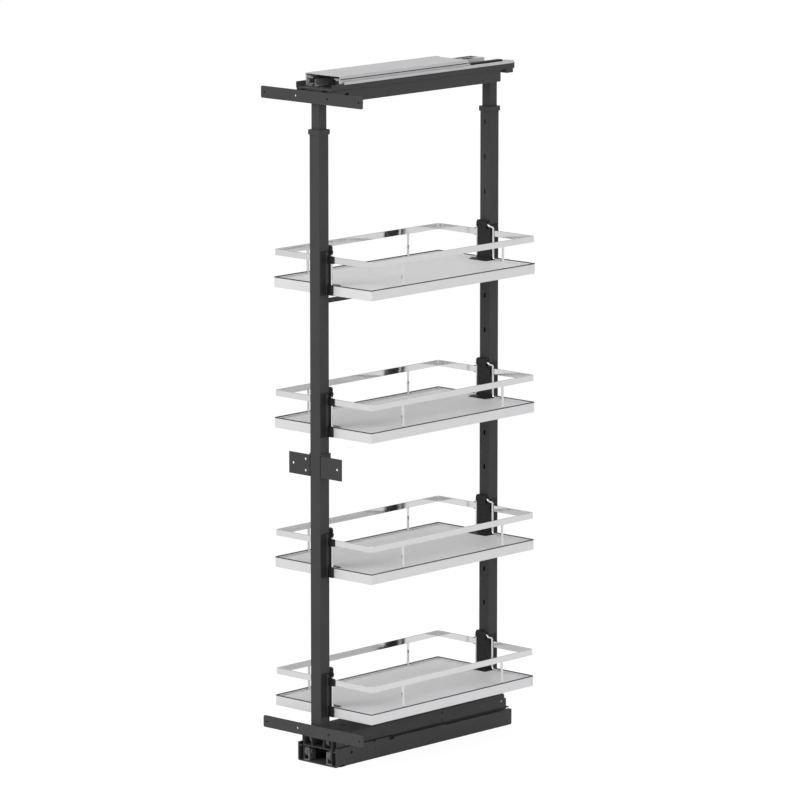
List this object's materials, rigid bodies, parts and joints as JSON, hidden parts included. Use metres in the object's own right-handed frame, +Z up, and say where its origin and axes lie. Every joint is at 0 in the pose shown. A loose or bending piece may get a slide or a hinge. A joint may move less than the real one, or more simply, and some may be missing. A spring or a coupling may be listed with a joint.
{
  "type": "pull out larder unit",
  "caption": "Tall narrow kitchen pull-out: rimmed trays with gallery rails hang between two telescopic posts on a roller runner, steadied by a top slide.",
  "frame": {"origin": "middle of the floor runner's underside, on the cabinet floor", "axes": "+X to the right seen from the front, -Y to the front, the way it pulls out, +Z up"},
  "size_m": [0.258, 0.511, 1.3038],
  "materials": {
    "anthracite_steel": "anthracite powder coat, fine satin texture",
    "black_plastic": "black moulded plastic, fine grain",
    "anthracite_plastic": "anthracite moulded plastic, fine grain",
    "black_rubber": "black rubber",
    "grey_nylon": "grey nylon",
    "zinc_steel": "zinc plated",
    "silver_steel": "bright zinc plated, drawn along its length",
    "chrome": "polished chrome plate",
    "pale_panel": "pale grey laminate with a soft gloss"
  },
  "bodies": {
    "cabinet_runner": {"runner_channel": "anthracite_steel", "runner_roller_brackets": "zinc_steel", "runner_axles": "zinc_steel", "soft_close_unit": "black_plastic", "rear_buffers": "black_rubber"},
    "runner_rollers": {"runner_rollers": "grey_nylon"},
    "runner_slide": {"slide_profile": "anthracite_steel", "slide_axles": "zinc_steel"},
    "slide_front_rollers": {"slide_front_rollers": "grey_nylon"},
    "slide_rear_rollers": {"slide_rear_rollers": "grey_nylon"},
    "carriage": {"carriage_beam": "anthracite_steel", "carriage_roller_ears": "anthracite_steel", "carriage_axles": "zinc_steel", "front_post": "anthracite_steel", "rear_post": "anthracite_steel", "post_collars": "anthracite_plastic", "collar_screws": "zinc_steel", "tie_bar": "anthracite_steel", "lower_door_bar": "anthracite_steel", "lower_bar_spacer": "anthracite_steel", "centre_door_bracket": "anthracite_steel", "bracket_screws": "zinc_steel"},
    "carriage_rollers": {"carriage_rollers": "grey_nylon"},
    "upper_frame": {"front_stem": "anthracite_steel", "rear_stem": "anthracite_steel", "top_beam": "anthracite_steel", "top_channel": "anthracite_steel", "upper_door_bar": "anthracite_steel", "upper_bar_spacer": "anthracite_steel", "inner_tracks": "silver_steel", "edge_strips": "silver_steel"},
    "top_slides": {"middle_tracks": "silver_steel"},
    "top_plate": {"outer_tracks": "silver_steel", "mounting_plate": "silver_steel"},
    "tray_1": {"tray_1_rim": "chrome", "tray_1_base": "pale_panel", "tray_1_rail": "chrome", "tray_1_front_hanger": "black_plastic", "tray_1_rear_hanger": "black_plastic", "tray_1_hoops": "chrome"},
    "tray_2": {"tray_2_rim": "chrome", "tray_2_base": "pale_panel", "tray_2_rail": "chrome", "tray_2_front_hanger": "black_plastic", "tray_2_rear_hanger": "black_plastic", "tray_2_hoops": "chrome"},
    "tray_3": {"tray_3_rim": "chrome", "tray_3_base": "pale_panel", "tray_3_rail": "chrome", "tray_3_front_hanger": "black_plastic", "tray_3_rear_hanger": "black_plastic", "tray_3_hoops": "chrome"},
    "tray_4": {"tray_4_rim": "chrome", "tray_4_base": "pale_panel", "tray_4_rail": "chrome", "tray_4_front_hanger": "black_plastic", "tray_4_rear_hanger": "black_plastic", "tray_4_hoops": "chrome"}
  },
  "joints": [
    {"name": "pull_out", "type": "slide", "parent": "cabinet_runner", "child": "carriage", "axis": [0, -1, 0], "range_m": [0, 0.46]},
    {"name": "slide_travel", "type": "slide", "parent": "cabinet_runner", "child": "runner_slide", "axis": [0, -1, 0], "range_m": [0, 0.23]},
    {"name": "runner_roller_spin", "type": "hinge", "parent": "cabinet_runner", "child": "runner_rollers", "pos_m": [0, -0.233, 0.02], "axis": [1, 0, 0], "range_deg": [0, 1250]},
    {"name": "slide_rear_roller_spin", "type": "hinge", "parent": "runner_slide", "child": "slide_rear_rollers", "pos_m": [0, 0.225, 0.0155], "axis": [1, 0, 0], "range_deg": [0, 1050]},
    {"name": "slide_front_roller_spin", "type": "hinge", "parent": "runner_slide", "child": "slide_front_rollers", "pos_m": [0, -0.226, 0.0469], "axis": [1, 0, 0], "range_deg": [0, 1010]},
    {"name": "carriage_roller_spin", "type": "hinge", "parent": "carriage", "child": "carriage_rollers", "pos_m": [0, 0.2045, 0.04075], "axis": [1, 0, 0], "range_deg": [0, 1780]},
    {"name": "height_adjust", "type": "slide", "parent": "carriage", "child": "upper_frame", "axis": [0, 0, 1], "range_m": [-0.04, 0.2]},
    {"name": "top_slide_travel", "type": "slide", "parent": "upper_frame", "child": "top_slides", "axis": [0, 1, 0], "range_m": [0, 0.23]},
    {"name": "top_plate_travel", "type": "slide", "parent": "upper_frame", "child": "top_plate", "axis": [0, 1, 0], "range_m": [0, 0.46]},
    {"name": "tray_1_height", "type": "slide", "parent": "carriage", "child": "tray_1", "axis": [0, 0, 1], "range_m": [0, 0.0668]},
    {"name": "tray_2_height", "type": "slide", "parent": "carriage", "child": "tray_2", "axis": [0, 0, 1], "range_m": [-0.0668, 0.0668]},
    {"name": "tray_3_height", "type": "slide", "parent": "carriage", "child": "tray_3", "axis": [0, 0, 1], "range_m": [0, 0.0668]},
    {"name": "tray_4_height", "type": "slide", "parent": "carriage", "child": "tray_4", "axis": [0, 0, 1], "range_m": [0, 0.1336]}
  ],
  "couplings": [
    {"joint": "slide_travel", "follows": "pull_out", "ratio": 0.5},
    {"joint": "runner_roller_spin", "follows": "pull_out", "rad_per_m": 46.729},
    {"joint": "slide_rear_roller_spin", "follows": "pull_out", "rad_per_m": 39.37},
    {"joint": "slide_front_roller_spin", "follows": "pull_out", "rad_per_m": 37.594},
    {"joint": "carriage_roller_spin", "follows": "pull_out", "rad_per_m": 67.114},
    {"joint": "top_slide_travel", "follows": "pull_out", "ratio": 0.5},
    {"joint": "top_plate_travel", "follows": "pull_out", "ratio": 1}
  ]
}
